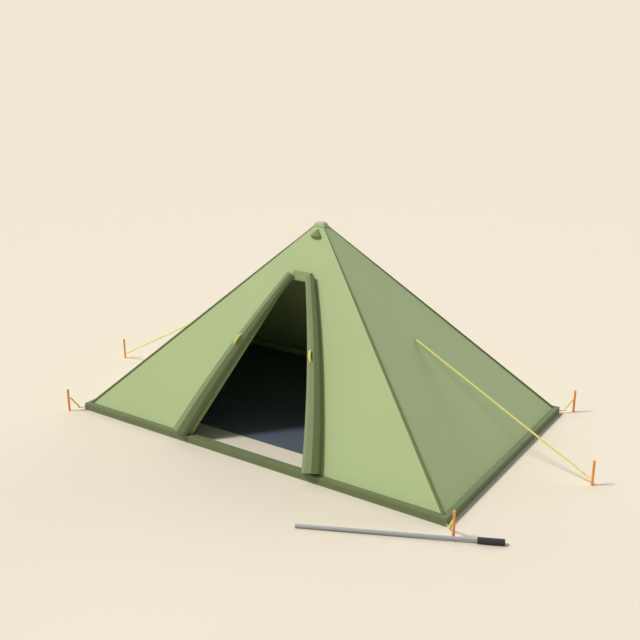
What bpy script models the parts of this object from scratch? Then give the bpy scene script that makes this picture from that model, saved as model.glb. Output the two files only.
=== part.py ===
# Trekking pole shelter: a four sided pyramid of cloth panels on a raised hem, held up by one
# walking pole in the middle, with its door rolled open, its pegs, cords, groundsheet and a
# second pole that lies in front of it.
# Metres, +Z up. The origin is on the ground under the middle pole. The door faces -Y.

import math

import bmesh
import bpy
from mathutils import Matrix, Vector

# Sizes of the shelter
BASE_WIDTH = 2.61         # left to right over the hem
BASE_DEPTH = 1.66         # front to back over the hem
APEX_HEIGHT = 1.265       # where the four panel planes meet
HEM_HEIGHT = 0.045        # top of the hem band
HEM_LEDGE = 0.035         # open top of the hem, outside the panels
HEM_TUCK = 0.012          # top of the hem that the panels stand on
HEM_EDGE = 0.004          # rounding of the hem's outer top edge
CLOTH = 0.0015            # thickness of the panels
GAP = 0.0003              # clearance between pieces that touch

# Ridge bindings
BINDING_WIDTH = 0.018
BINDING_PROUD = 0.0075
BINDING_MID_WIDTH = 0.015
BINDING_MID_PROUD = 0.006
BINDING_TOP_WIDTH = 0.010
BINDING_TOP_PROUD = 0.0048

# Apex
CAP_DROP = 0.0105         # from the meeting point of the planes down to the cap's top
CAP_SKIRT = 0.0035        # how far the cap reaches down over the panels' tops
CAP_OVERLAP = 0.0070      # how far the cap's skirt stands off the panels
CAP_TOP_HALF_WIDTH = 0.0285
CAP_TOP_HALF_DEPTH = 0.0170
CAP_ROUNDING = 0.004
CUP_RADIUS = 0.0125
CUP_HEIGHT = 0.046
CUP_ROOF = 0.010

# Door
DOOR_TOP = 0.93           # height of the opening
DOOR_HALF_BOTTOM = 0.406  # half width of the opening at the hem
DOOR_HALF_TOP = 0.081     # half width of the opening at its top
ROLL_HALF_BOTTOM = 0.4743   # half spacing of the rolls at the hem
ROLL_HALF_TOP = 0.067     # half spacing of the rolls at their tops
ROLL_BULGE = 0.025        # outward bow of each roll
ROLL_END = 0.036          # height of the middle of each roll's lower end
ROLL_TOP = 0.955
ROLL_RADIUS_BOTTOM = 0.0525
ROLL_RADIUS_TOP = 0.0275
ROLL_PROUD_BOTTOM = 0.0275
ROLL_PROUD_TOP = 0.0265
ROLL_TURN = 15.0          # degrees, first edge of the roll from its outer side
ROLL_STATIONS = 10
HEADER_HALF_WIDTH = 0.062
HEADER_HEIGHT = 0.050
HEADER_PROUD = 0.021
TIE_HEIGHT = 0.565        # height of the rolls' tie loops
TIE_LOOP_RADIUS = 0.035
TIE_DIAMETER = 0.013
TIE_SINK = 0.013          # depth of the loop's centre under the roll's face
TIE_TURN = 0.0            # degrees, lean of both loops, to the left when positive

# Vent in the upper front panel
VENT_DROP = 0.047         # from the meeting point of the planes down to the hood's top
VENT_HEIGHT = 0.040
VENT_HALF_WIDTH = 0.042
VENT_RISE = 0.022
VENT_LIP_DROP = 0.010     # how far the lip's middle hangs under its ends
VENT_CLOTH = 0.0015
VENT_HOLE_MARGIN = 0.007    # how far the hood laps over the hole

# Groundsheet
SHEET_SIDE_INSET = 0.070    # from the hem's outer face, left and right
SHEET_FRONT_INSET = 0.256
SHEET_BACK_INSET = 0.060
SHEET_THICKNESS = 0.003

# Walking poles: both are the same two part pole
POLE_LENGTH = 1.035       # closed length
GRIP_LENGTH = 0.133
GRIP_DIAMETER = 0.032
SHAFT_DIAMETER = 0.020
SHAFT_WALL = 0.0011
SHAFT_SOCKET = 0.110      # depth of the shaft inside the grip
TUBE_CLEARANCE = 0.0004   # running clearance of the thin tube in the thick one
TIP_LENGTH = 0.036
TIP_PLUG = 0.028
THIN_TUBE_LENGTH = 0.520
THIN_TUBE_WALL = 0.0010
EXPANDER_LENGTH = 0.032
SPARE_TIP = (-0.633, -0.422)   # from the hem's front right corner
SPARE_GRIP = (0.308, 0.008)

# Pegs and cords
PEG_HEIGHT = 0.150
PEG_DIAMETER = 0.015
PEG_EDGE = 0.0012
CORNER_PEG_OUT = 0.070    # from the hem's corner, along both x and y
GUY_PEG_OUT = 0.474       # from the hem's edge
CORD_DIAMETER = 0.009
GUY_HEIGHT = 0.621        # where the guy lines leave the panels
GUY_PEG_HEIGHT = 0.036
CORNER_CORD_HEIGHT = 0.090
PATCH_LENGTH = 0.030
PATCH_WIDTH = 0.020
PATCH_THICKNESS = 0.0015
TAB_LENGTH = 0.044
TAB_WIDTH = 0.016
TAB_THICKNESS = 0.0030
TAB_HEIGHT = 0.0160
TAB_CORD_REACH = 0.036    # where the corner cord stands on its tab

# Values that follow from the sizes above
HALF_W = BASE_WIDTH / 2 - HEM_LEDGE
HALF_D = BASE_DEPTH / 2 - HEM_LEDGE
RISE = APEX_HEIGHT - HEM_HEIGHT
RATIO = HALF_D / HALF_W
DIAGONAL = math.sqrt(1.0 + RATIO * RATIO)
NORMAL_SIDE = Vector((RISE, 0.0, HALF_W)).normalized()
NORMAL_FRONT = Vector((0.0, -RISE, HALF_D)).normalized()
PANEL_FOOT = HEM_HEIGHT + GAP
SHAFT_RADIUS = SHAFT_DIAMETER / 2
SHAFT_BORE = SHAFT_RADIUS - SHAFT_WALL
THIN_RADIUS = SHAFT_BORE - TUBE_CLEARANCE
THIN_BORE = THIN_RADIUS - THIN_TUBE_WALL
CUP_BORE = SHAFT_RADIUS + 2 * GAP
CLOTH_ACROSS = CLOTH / -NORMAL_FRONT.y
PANEL_TOP = APEX_HEIGHT - (CUP_RADIUS + 2 * GAP + CLOTH_ACROSS) * RISE / HALF_D
CAP_TOP = APEX_HEIGHT - CAP_DROP
CAP_BOTTOM = PANEL_TOP - CAP_SKIRT
VENT_TOP = APEX_HEIGHT - VENT_DROP
VENT_SIDE = VENT_TOP - VENT_HEIGHT


# Clearing and small helpers

for old in list(bpy.data.objects):
    bpy.data.objects.remove(old, do_unlink=True)


def make_material(name, color, roughness, metallic=0.0):
    mat = bpy.data.materials.new(name)
    mat.use_nodes = True
    shader = mat.node_tree.nodes["Principled BSDF"]
    shader.inputs["Base Color"].default_value = (*color, 1.0)
    shader.inputs["Roughness"].default_value = roughness
    shader.inputs["Metallic"].default_value = metallic
    mat.diffuse_color = (*color, 1.0)
    return mat


PANEL_CLOTH = make_material("panel cloth", (0.46, 0.54, 0.26), 0.85)
TRIM_CLOTH = make_material("trim cloth", (0.18, 0.23, 0.09), 0.85)
WEBBING = make_material("pale webbing", (0.70, 0.62, 0.49), 0.85)
ROLL_CLOTH = make_material("rolled cloth", (0.25, 0.31, 0.14), 0.85)
MESH_CLOTH = make_material("vent mesh", (0.05, 0.06, 0.04), 0.9)
SHEET_CLOTH = make_material("groundsheet", (0.06, 0.075, 0.085), 0.6)
CORD_YELLOW = make_material("cord", (0.86, 0.80, 0.25), 0.7)
PEG_ORANGE = make_material("peg paint", (0.75, 0.24, 0.08), 0.45)
POLE_METAL = make_material("pole tube", (0.45, 0.46, 0.48), 0.35, 0.9)
GRIP_FOAM = make_material("grip foam", (0.045, 0.047, 0.05), 0.8)
INNER_PLASTIC = make_material("dark plastic", (0.05, 0.05, 0.055), 0.5)


def finish_object(name, bm, material, parent=None, smooth=None):
    """Turn a bmesh into an object whose faces point out."""
    bmesh.ops.remove_doubles(bm, verts=bm.verts, dist=1e-7)
    bmesh.ops.recalc_face_normals(bm, faces=bm.faces)
    mesh = bpy.data.meshes.new(name)
    bm.to_mesh(mesh)
    bm.free()
    if smooth is not None:
        mesh.shade_smooth()
        mesh.set_sharp_from_angle(angle=math.radians(smooth))
    mesh.materials.append(material)
    obj = bpy.data.objects.new(name, mesh)
    bpy.context.scene.collection.objects.link(obj)
    obj.parent = parent
    return obj


def skin(bm, rings, closed_ends=True):
    """Join rings of points of equal length into a closed tube of faces."""
    loops = [[bm.verts.new(p) for p in ring] for ring in rings]
    count = len(loops[0])
    for a, b in zip(loops, loops[1:]):
        for i in range(count):
            j = (i + 1) % count
            bm.faces.new((a[i], a[j], b[j], b[i]))
    if closed_ends:
        bm.faces.new(loops[0])
        bm.faces.new(loops[-1])
    return loops


def cut_with(obj, cutter):
    """Take the cutter's volume away from the object."""
    cutter.hide_render = True
    cutter.display_type = 'WIRE'
    mod = obj.modifiers.new("cut", 'BOOLEAN')
    mod.operation = 'DIFFERENCE'
    mod.solver = 'EXACT'
    mod.object = cutter


def turned(name, profile, material, parent=None, segments=24, place=None):
    """A piece turned about Z from a profile of (radius, z) points, open or closed."""
    bm = bmesh.new()
    rings = []
    for radius, z in profile:
        if radius < 1e-9:
            rings.append([bm.verts.new((0.0, 0.0, z))])
            continue
        step = 2 * math.pi / segments
        rings.append([bm.verts.new((radius * math.cos(i * step), radius * math.sin(i * step), z))
                      for i in range(segments)])
    for a, b in zip(rings, rings[1:]):
        for i in range(segments):
            j = (i + 1) % segments
            if len(a) == 1 and len(b) > 1:
                bm.faces.new((a[0], b[j], b[i]))
            elif len(b) == 1 and len(a) > 1:
                bm.faces.new((a[i], a[j], b[0]))
            elif len(a) > 1:
                bm.faces.new((a[i], a[j], b[j], b[i]))
    if len(rings[0]) > 1 and len(rings[-1]) > 1:
        a, b = rings[-1], rings[0]
        for i in range(segments):
            j = (i + 1) % segments
            bm.faces.new((a[i], a[j], b[j], b[i]))
    obj = finish_object(name, bm, material, parent, smooth=35)
    if place is not None:
        obj.matrix_local = place
    return obj


def half_x(z):
    return HALF_W * (APEX_HEIGHT - z) / RISE


def half_y(z):
    return HALF_D * (APEX_HEIGHT - z) / RISE


# Panels

def side_row(sign, z, depth):
    """Front and back point of a left or right panel at one height and one depth."""
    x = half_x(z) - depth / NORMAL_SIDE.x
    y = x * RATIO - GAP / 2 * DIAGONAL
    return Vector((sign * x, -y, z)), Vector((sign * x, y, z))


def front_limit(z, depth):
    """Half width and half depth of a front or back panel at one height and one depth."""
    y = half_y(z) - depth / -NORMAL_FRONT.y
    x = y / RATIO - GAP / 2 * DIAGONAL / RATIO
    return x, y


def side_panel(name, sign):
    bm = bmesh.new()
    rings = []
    for depth in (0.0, CLOTH):
        a, b = side_row(sign, PANEL_FOOT, depth)
        d, c = side_row(sign, PANEL_TOP, depth)
        rings.append([a, b, c, d])
    skin(bm, rings)
    return finish_object(name, bm, PANEL_CLOTH)


def face_panel(name, face, rows):
    """A panel of the front (face -1) or back (face 1) through rows of (z, left, right).

    A limit of None runs to the ridge on that side."""
    bm = bmesh.new()
    rings = []
    for depth in (0.0, CLOTH):
        left = []
        right = []
        for z, lo, hi in rows:
            x, y = front_limit(z, depth)
            left.append(Vector((-x if lo is None else lo, face * y, z)))
            right.append(Vector((x if hi is None else hi, face * y, z)))
        rings.append(left + right[::-1])
    skin(bm, rings)
    return finish_object(name, bm, PANEL_CLOTH)


right_panel = side_panel("right_panel", 1)
left_panel = side_panel("left_panel", -1)
back_panel = face_panel("back_panel", 1, [(PANEL_FOOT, None, None), (PANEL_TOP, None, None)])


# Front panels: one beside each roll and one above the door

def door_half(z):
    """Half width of the opening at a height."""
    t = (z - HEM_HEIGHT) / (DOOR_TOP - HEM_HEIGHT)
    return DOOR_HALF_BOTTOM + (DOOR_HALF_TOP - DOOR_HALF_BOTTOM) * t


low, high = PANEL_FOOT, DOOR_TOP
front_panel_left = face_panel("front_panel_left", -1,
                              [(low, None, -door_half(low)), (high, None, -door_half(high))])
front_panel_right = face_panel("front_panel_right", -1,
                               [(low, door_half(low), None), (high, door_half(high), None)])
front_panel_upper = face_panel("front_panel_upper", -1,
                               [(DOOR_TOP + GAP, None, None), (PANEL_TOP, None, None)])


def on_front(x, z, out=0.0):
    """A point on the front panel's outer plane, or off it along its normal."""
    return Vector((x, -half_y(z), z)) + NORMAL_FRONT * out


# The rolled door halves: eight sided tapering rolls that bow outwards and lie flat on the panels

def roll_half(z):
    """Half spacing of the rolls' middles at a height."""
    t = (z - HEM_HEIGHT) / (ROLL_TOP - HEM_HEIGHT)
    straight = ROLL_HALF_BOTTOM + (ROLL_HALF_TOP - ROLL_HALF_BOTTOM) * t
    return straight + 4 * ROLL_BULGE * t * (1 - t)


def roll_share(z):
    return (z - HEM_HEIGHT) / (ROLL_TOP - HEM_HEIGHT)


def roll_radius(z):
    return ROLL_RADIUS_BOTTOM + (ROLL_RADIUS_TOP - ROLL_RADIUS_BOTTOM) * roll_share(z)


def roll_centre(sign, z):
    proud = ROLL_PROUD_BOTTOM + (ROLL_PROUD_TOP - ROLL_PROUD_BOTTOM) * roll_share(z)
    return on_front(sign * roll_half(z), z, proud)


def roll_frame(sign, z):
    """Tangent, direction across the panel and outward direction at one height."""
    tangent = (roll_centre(sign, z + 0.005) - roll_centre(sign, z - 0.005)).normalized()
    across = tangent.cross(NORMAL_FRONT).normalized()
    out = across.cross(tangent).normalized()
    if across.x < 0:
        across = -across
    return tangent, across, out


def roll_ring(sign, z, grow=0.0):
    """Eight corners of the roll at the height of its middle."""
    tangent, across, out = roll_frame(sign, z)
    radius = roll_radius(z) + grow / math.cos(math.pi / 8)
    centre = roll_centre(sign, z)
    ring = []
    for k in range(8):
        angle = math.radians(ROLL_TURN) + k * math.pi / 4
        side = sign * math.cos(angle)
        ring.append(centre + across * (radius * side) + out * (radius * math.sin(angle)))
    return ring


def roll_heights():
    return [ROLL_END + (ROLL_TOP - ROLL_END) * i / (ROLL_STATIONS - 1) for i in range(ROLL_STATIONS)]


def keep_side(bm, point, normal):
    """Cut a body by a plane, keep the part the normal points to and close it."""
    geometry = bm.verts[:] + bm.edges[:] + bm.faces[:]
    cut = bmesh.ops.bisect_plane(bm, geom=geometry, dist=1e-7, plane_co=point, plane_no=normal,
                                 clear_inner=True)
    rim = [e for e in cut["geom_cut"] if isinstance(e, bmesh.types.BMEdge)]
    bmesh.ops.holes_fill(bm, edges=rim, sides=0)


def door_roll(name, sign):
    bm = bmesh.new()
    skin(bm, [roll_ring(sign, z) for z in roll_heights()])
    bmesh.ops.triangulate(bm, faces=[f for f in bm.faces if len(f.verts) == 4])
    keep_side(bm, on_front(0.0, HEM_HEIGHT, GAP), NORMAL_FRONT)
    keep_side(bm, Vector((0.0, 0.0, PANEL_FOOT)), Vector((0.0, 0.0, 1.0)))
    return finish_object(name, bm, ROLL_CLOTH)


def roll_cutter(name, sign):
    """The space that a roll takes in the header and the ties."""
    bm = bmesh.new()
    rings = [roll_ring(sign, z, GAP) for z in roll_heights()]
    top = roll_frame(sign, ROLL_TOP)[0] * (2 * GAP)
    skin(bm, rings + [[p + top for p in rings[-1]]])
    return finish_object(name, bm, INNER_PLASTIC)


door_roll_left = door_roll("door_roll_left", -1)
door_roll_right = door_roll("door_roll_right", 1)
left_space = roll_cutter("left_roll_space", -1)
right_space = roll_cutter("right_roll_space", 1)


# Door header: a padded bar over the opening, cut round the tops of the rolls

bm = bmesh.new()
rings = []
for x in (-HEADER_HALF_WIDTH, HEADER_HALF_WIDTH):
    lo, hi = DOOR_TOP, DOOR_TOP + HEADER_HEIGHT
    slope = HEADER_PROUD * 0.35
    rings.append([on_front(x, lo, GAP), on_front(x, lo, HEADER_PROUD - slope * 0.5),
                  on_front(x, lo + slope, HEADER_PROUD), on_front(x, hi - slope, HEADER_PROUD),
                  on_front(x, hi, HEADER_PROUD - slope), on_front(x, hi, GAP)])
skin(bm, rings)
door_header = finish_object("door_header", bm, ROLL_CLOTH)
cut_with(door_header, left_space)
cut_with(door_header, right_space)


# Tie loops: half rings of cord that stand out of the rolls

def door_tie(name, sign):
    tangent, level, straight = roll_frame(sign, TIE_HEIGHT)
    lean = math.radians(TIE_TURN)
    out = straight * math.cos(lean) - level * math.sin(lean)
    across = level * math.cos(lean) + straight * math.sin(lean)
    face = roll_radius(TIE_HEIGHT) * math.cos(math.pi / 8)
    centre = roll_centre(sign, TIE_HEIGHT) + out * (face - TIE_SINK)
    bm = bmesh.new()
    rings = []
    steps = 20
    for i in range(steps + 1):
        angle = math.pi * i / steps
        spoke = tangent * math.cos(angle) + out * math.sin(angle)
        ring = []
        for k in range(8):
            turn = 2 * math.pi * k / 8
            ring.append(centre + spoke * (TIE_LOOP_RADIUS + TIE_DIAMETER / 2 * math.cos(turn))
                        + across * (TIE_DIAMETER / 2 * math.sin(turn)))
        rings.append(ring)
    skin(bm, rings)
    return finish_object(name, bm, CORD_YELLOW, smooth=60)


cut_with(door_tie("door_tie_left", -1), left_space)
cut_with(door_tie("door_tie_right", 1), right_space)


# Vent: a hole in the upper panel with mesh in it, under a hood that stands open at the bottom

def vent_outline(inset, out):
    """The triangle of the hole, or of the mesh when drawn in by an inset."""
    low = VENT_SIDE - 0.5 * VENT_HOLE_MARGIN + inset
    top = VENT_TOP - 1.6 * VENT_HOLE_MARGIN - 1.6 * inset
    half = VENT_HALF_WIDTH - 1.4 * VENT_HOLE_MARGIN - 2.6 * inset
    return [on_front(0.0, top, out), on_front(-half, low, out), on_front(half, low, out)]


bm = bmesh.new()
skin(bm, [vent_outline(0.0, 0.01), vent_outline(0.0, -0.01)])
vent_hole = finish_object("vent_hole", bm, INNER_PLASTIC)
cut_with(front_panel_upper, vent_hole)
bm = bmesh.new()
skin(bm, [vent_outline(GAP, -CLOTH * 0.2), vent_outline(GAP, -CLOTH * 0.8)])
finish_object("vent_mesh", bm, MESH_CLOTH)


def hood_point(share, turn, inward):
    """A point of the hood: share 0 at its top, 1 at its lip; turn runs from -1 to 1."""
    half = (VENT_HALF_WIDTH - inward * 1.5) * share
    drop = (VENT_TOP - inward * 2.0 - VENT_SIDE) * share
    bow = math.cos(turn * math.pi / 2)
    z = VENT_TOP - inward * 2.0 - drop - VENT_LIP_DROP * share * bow
    return on_front(half * math.sin(turn * math.pi / 2), z, GAP + (VENT_RISE - inward) * share * bow)


bm = bmesh.new()
turns = [-1 + 2 * i / 10 for i in range(11)]
shares = (0.08, 0.3, 0.55, 0.8, 1.0)
outer = [[bm.verts.new(hood_point(s, t, 0.0)) for t in turns] for s in shares]
inner = [[bm.verts.new(hood_point(s, t, VENT_CLOTH)) for t in turns] for s in shares]
last = len(turns) - 1
for grid in (outer, inner):
    for a, b in zip(grid, grid[1:]):
        for i in range(last):
            bm.faces.new((a[i], a[i + 1], b[i + 1], b[i]))
for k in (0, len(shares) - 1):
    for i in range(last):
        bm.faces.new((outer[k][i], outer[k][i + 1], inner[k][i + 1], inner[k][i]))
for k in range(len(shares) - 1):
    for i in (0, last):
        bm.faces.new((outer[k][i], outer[k + 1][i], inner[k + 1][i], inner[k][i]))
finish_object("vent_hood", bm, TRIM_CLOTH, smooth=40)


# Hem: four bands that meet in mitres at the corners

def hem_profile():
    """Points (inward from the outer face, height) round the band."""
    width = HEM_LEDGE + HEM_TUCK
    points = [(0.0, 0.0), (0.0, HEM_HEIGHT - HEM_EDGE)]
    for i in range(1, 4):
        angle = math.pi / 2 * i / 3
        points.append((HEM_EDGE * (1 - math.cos(angle)), HEM_HEIGHT - HEM_EDGE * (1 - math.sin(angle))))
    points += [(width, HEM_HEIGHT), (width, 0.0)]
    return points


def hem_band(name, along_x, sign):
    mitre = GAP / 2 * math.sqrt(2)
    rings = []
    for end in (-1, 1):
        ring = []
        for inward, z in hem_profile():
            if along_x:
                x = end * (BASE_WIDTH / 2 - inward - mitre)
                ring.append(Vector((x, sign * (BASE_DEPTH / 2 - inward), z)))
            else:
                y = end * (BASE_DEPTH / 2 - inward - mitre)
                ring.append(Vector((sign * (BASE_WIDTH / 2 - inward), y, z)))
        rings.append(ring)
    bm = bmesh.new()
    skin(bm, rings)
    return finish_object(name, bm, TRIM_CLOTH)


hem_band("hem_front", True, -1)
hem_band("hem_back", True, 1)
hem_band("hem_left", False, -1)
hem_band("hem_right", False, 1)


# Ridge bindings: rounded strips that straddle the ridges

def ridge_binding(name, sx, sy):
    foot = Vector((sx * half_x(HEM_HEIGHT), sy * half_y(HEM_HEIGHT), HEM_HEIGHT))
    top = Vector((0.0, 0.0, APEX_HEIGHT))
    along = (top - foot).normalized()
    normal_a = Vector((sx * NORMAL_SIDE.x, 0.0, NORMAL_SIDE.z))
    normal_b = Vector((0.0, -sy * NORMAL_FRONT.y, NORMAL_FRONT.z))
    out = (normal_a + normal_b).normalized()
    across = along.cross(out).normalized()
    fall = math.tan(math.acos(normal_a.dot(out)))
    lift = GAP / normal_a.dot(out)
    length = (top - foot).length
    reach = 0.03
    stations = [(-reach, BINDING_WIDTH, BINDING_PROUD),
                (length * 0.2, BINDING_WIDTH, BINDING_PROUD),
                (length * 0.5, BINDING_MID_WIDTH, BINDING_MID_PROUD),
                (length * 0.8, BINDING_MID_WIDTH, BINDING_MID_PROUD),
                (length - 0.01, BINDING_TOP_WIDTH, BINDING_TOP_PROUD)]
    bm = bmesh.new()
    rings = []
    for distance, width, proud in stations:
        half = width / 2
        low = lift - half * fall
        base = foot + along * distance
        ring = [base + out * lift]
        for i in range(7):
            angle = math.pi * i / 6
            ring.append(base + across * (half * math.cos(angle))
                        + out * (low + (proud - low) * math.sin(angle)))
        rings.append(ring)
    skin(bm, rings)
    keep_side(bm, Vector((0.0, 0.0, PANEL_FOOT)), Vector((0.0, 0.0, 1.0)))
    keep_side(bm, Vector((0.0, 0.0, CAP_BOTTOM - GAP)), Vector((0.0, 0.0, -1.0)))
    return finish_object(name, bm, TRIM_CLOTH, smooth=40)


ridge_binding("ridge_binding_front_left", -1, -1)
ridge_binding("ridge_binding_front_right", 1, -1)
ridge_binding("ridge_binding_back_left", -1, 1)
ridge_binding("ridge_binding_back_right", 1, 1)


# Apex: a cap over the panels' tops and the cup that takes the pole

def frustum_rings(rows):
    return [[Vector((-x, -y, z)), Vector((x, -y, z)), Vector((x, y, z)), Vector((-x, y, z))]
            for x, y, z in rows]


bm = bmesh.new()
skirt_x = half_x(CAP_BOTTOM) + CAP_OVERLAP / NORMAL_SIDE.x
skirt_y = half_y(CAP_BOTTOM) + CAP_OVERLAP / -NORMAL_FRONT.y
skin(bm, frustum_rings([(skirt_x, skirt_y, CAP_BOTTOM),
                        (CAP_TOP_HALF_WIDTH, CAP_TOP_HALF_DEPTH, CAP_TOP)]))
bmesh.ops.recalc_face_normals(bm, faces=bm.faces)
rounded = [e for e in bm.edges if max(v.co.z for v in e.verts) > CAP_BOTTOM + 0.001]
bmesh.ops.bevel(bm, geom=rounded, offset=CAP_ROUNDING, offset_type='OFFSET', segments=4,
                profile=0.5, affect='EDGES', material=-1)
apex_cap = finish_object("apex_cap", bm, PANEL_CLOTH, smooth=50)
bm = bmesh.new()
lift = GAP / NORMAL_SIDE.x
low = CAP_BOTTOM - 0.01
roof = PANEL_TOP + GAP
skin(bm, frustum_rings([(half_x(low) + lift, half_y(low) + GAP / -NORMAL_FRONT.y, low),
                        (half_x(roof) + lift, half_y(roof) + GAP / -NORMAL_FRONT.y, roof)]))
cap_hollow = finish_object("cap_hollow", bm, INNER_PLASTIC)
cut_with(apex_cap, cap_hollow)

cup_floor = PANEL_TOP - CUP_ROOF
cup_lip = PANEL_TOP - CUP_HEIGHT
turned("pole_cup", [(0.0, PANEL_TOP), (CUP_RADIUS, PANEL_TOP), (CUP_RADIUS, cup_lip + 0.002),
                    (CUP_RADIUS - 0.002, cup_lip), (CUP_BORE + 0.001, cup_lip),
                    (CUP_BORE, cup_lip + 0.002), (CUP_BORE, cup_floor), (0.0, cup_floor)],
       INNER_PLASTIC)


# Groundsheet

bm = bmesh.new()
sheet_x = BASE_WIDTH / 2 - SHEET_SIDE_INSET
sheet_front = -BASE_DEPTH / 2 + SHEET_FRONT_INSET
sheet_back = BASE_DEPTH / 2 - SHEET_BACK_INSET
corners = [(-sheet_x, sheet_front), (sheet_x, sheet_front), (sheet_x, sheet_back), (-sheet_x, sheet_back)]
skin(bm, [[Vector((x, y, z)) for x, y in corners] for z in (0.0, SHEET_THICKNESS)])
finish_object("groundsheet", bm, SHEET_CLOTH)


# Walking poles, built along +Z from the grip's end at z = 0 to the tip

def walking_pole(prefix, frame, extension):
    """One pole: grip, thick tube, expander, thin tube and tip, pulled out by extension."""
    grip_r = GRIP_DIAMETER / 2
    socket_z = GRIP_LENGTH - SHAFT_SOCKET
    mouth = POLE_LENGTH - TIP_LENGTH - GAP
    socket_r = SHAFT_RADIUS + GAP
    turned(prefix + "_grip",
           [(0.0, 0.0), (grip_r - 0.003, 0.0), (grip_r - 0.0009, 0.0009), (grip_r, 0.003),
            (grip_r, GRIP_LENGTH - 0.003), (grip_r - 0.0009, GRIP_LENGTH - 0.0009),
            (grip_r - 0.003, GRIP_LENGTH), (socket_r, GRIP_LENGTH), (socket_r, socket_z),
            (0.0, socket_z)], GRIP_FOAM, frame, 24)
    base = socket_z + GAP
    turned(prefix + "_upper_shaft",
           [(SHAFT_RADIUS, base), (SHAFT_RADIUS, mouth), (SHAFT_BORE, mouth), (SHAFT_BORE, base)],
           POLE_METAL, frame, 24)
    slider = bpy.data.objects.new(prefix + "_slide", None)
    bpy.context.scene.collection.objects.link(slider)
    slider.parent = frame
    slider.location = (0.0, 0.0, extension)
    thin_top = POLE_LENGTH - TIP_LENGTH - GAP
    thin_base = thin_top - THIN_TUBE_LENGTH
    plug_r = THIN_BORE - TUBE_CLEARANCE
    cone = thin_base - GAP
    turned(prefix + "_expander",
           [(0.0, cone - EXPANDER_LENGTH), (THIN_RADIUS - 0.002, cone - EXPANDER_LENGTH),
            (THIN_RADIUS, cone - EXPANDER_LENGTH + 0.003), (THIN_RADIUS, cone - 0.010),
            (plug_r - 0.001, cone - 0.004), (plug_r - 0.001, cone), (plug_r, cone + 0.001),
            (plug_r, cone + 0.014), (plug_r - 0.001, cone + 0.015), (0.0, cone + 0.015)],
           INNER_PLASTIC, slider, 24)
    turned(prefix + "_lower_shaft",
           [(THIN_RADIUS, thin_base), (THIN_RADIUS, thin_top), (THIN_BORE, thin_top),
            (THIN_BORE, thin_base)], POLE_METAL, slider, 24)
    shoulder = thin_top + GAP
    end = POLE_LENGTH
    turned(prefix + "_tip",
           [(0.0, shoulder - TIP_PLUG), (plug_r - 0.001, shoulder - TIP_PLUG),
            (plug_r, shoulder - TIP_PLUG + 0.001), (plug_r, shoulder), (SHAFT_RADIUS, shoulder),
            (SHAFT_RADIUS, end - 0.003), (SHAFT_RADIUS - 0.0009, end - 0.0009),
            (SHAFT_RADIUS - 0.003, end), (0.0, end)], POLE_METAL, slider, 24)
    return slider


standing = bpy.data.objects.new("support_pole", None)
bpy.context.scene.collection.objects.link(standing)
standing.location = (0.0, 0.0, SHEET_THICKNESS + GAP)
SUPPORT_EXTENSION = cup_floor - GAP - POLE_LENGTH - SHEET_THICKNESS - GAP
walking_pole("support_pole", standing, SUPPORT_EXTENSION)

lying = bpy.data.objects.new("spare_pole", None)
bpy.context.scene.collection.objects.link(lying)
front_right = Vector((BASE_WIDTH / 2, -BASE_DEPTH / 2, 0.0))
grip_end = front_right + Vector((*SPARE_GRIP, GRIP_DIAMETER / 2))
tip_way = Vector((*SPARE_TIP, 0.0)) - Vector((*SPARE_GRIP, 0.0))
flat = tip_way.normalized()
drop = (GRIP_DIAMETER - SHAFT_DIAMETER) / 2 / POLE_LENGTH
axis_z = Vector((flat.x, flat.y, -drop)).normalized()
axis_y = Vector((0.0, 0.0, 1.0)).cross(axis_z).normalized()
axis_x = axis_y.cross(axis_z)
lying.matrix_world = Matrix((
    (axis_x.x, axis_y.x, axis_z.x, grip_end.x), (axis_x.y, axis_y.y, axis_z.y, grip_end.y),
    (axis_x.z, axis_y.z, axis_z.z, grip_end.z + 0.0001), (0.0, 0.0, 0.0, 1.0)))
walking_pole("spare_pole", lying, 0.0)


# Pegs: plain round rods that stand on the ground

def peg(name, x, y):
    r = PEG_DIAMETER / 2
    e = PEG_EDGE
    place = Matrix.Translation((x, y, 0.0))
    turned(name, [(0.0, 0.0), (r - e / 2, 0.0), (r, e / 2), (r, PEG_HEIGHT - e),
                  (r - e * 0.3, PEG_HEIGHT - e * 0.3), (r - e, PEG_HEIGHT), (0.0, PEG_HEIGHT)],
           PEG_ORANGE, None, 20, place)


CORNERS = {"front_left": (-1, -1), "front_right": (1, -1), "back_left": (-1, 1), "back_right": (1, 1)}
corner_x = BASE_WIDTH / 2 + CORNER_PEG_OUT
corner_y = BASE_DEPTH / 2 + CORNER_PEG_OUT
for corner, (sx, sy) in CORNERS.items():
    peg("peg_" + corner, sx * corner_x, sy * corner_y)
side_x = BASE_WIDTH / 2 + GUY_PEG_OUT
back_y = BASE_DEPTH / 2 + GUY_PEG_OUT
peg("peg_left", -side_x, 0.0)
peg("peg_right", side_x, 0.0)
peg("peg_back", 0.0, back_y)


# Corner tabs: flat tongues that fit round the hem's corners

def corner_tab(name, sx, sy):
    out = Vector((sx, sy, 0.0)).normalized()
    side = Vector((-sy, sx, 0.0)).normalized()
    corner = Vector((sx * BASE_WIDTH / 2, sy * BASE_DEPTH / 2, 0.0))
    half = TAB_WIDTH / 2
    clear = GAP * math.sqrt(2)
    outline = [(clear, 0.0), (clear - half, half), (TAB_LENGTH - half, half)]
    for i in range(1, 6):
        angle = math.pi / 2 - math.pi * i / 6
        outline.append((TAB_LENGTH - half + half * math.cos(angle), half * math.sin(angle)))
    outline += [(TAB_LENGTH - half, -half), (clear - half, -half)]
    rings = []
    for z in (TAB_HEIGHT, TAB_HEIGHT + TAB_THICKNESS):
        rings.append([corner + out * a + side * b + Vector((0, 0, z)) for a, b in outline])
    bm = bmesh.new()
    skin(bm, rings)
    finish_object(name, bm, WEBBING)


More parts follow.
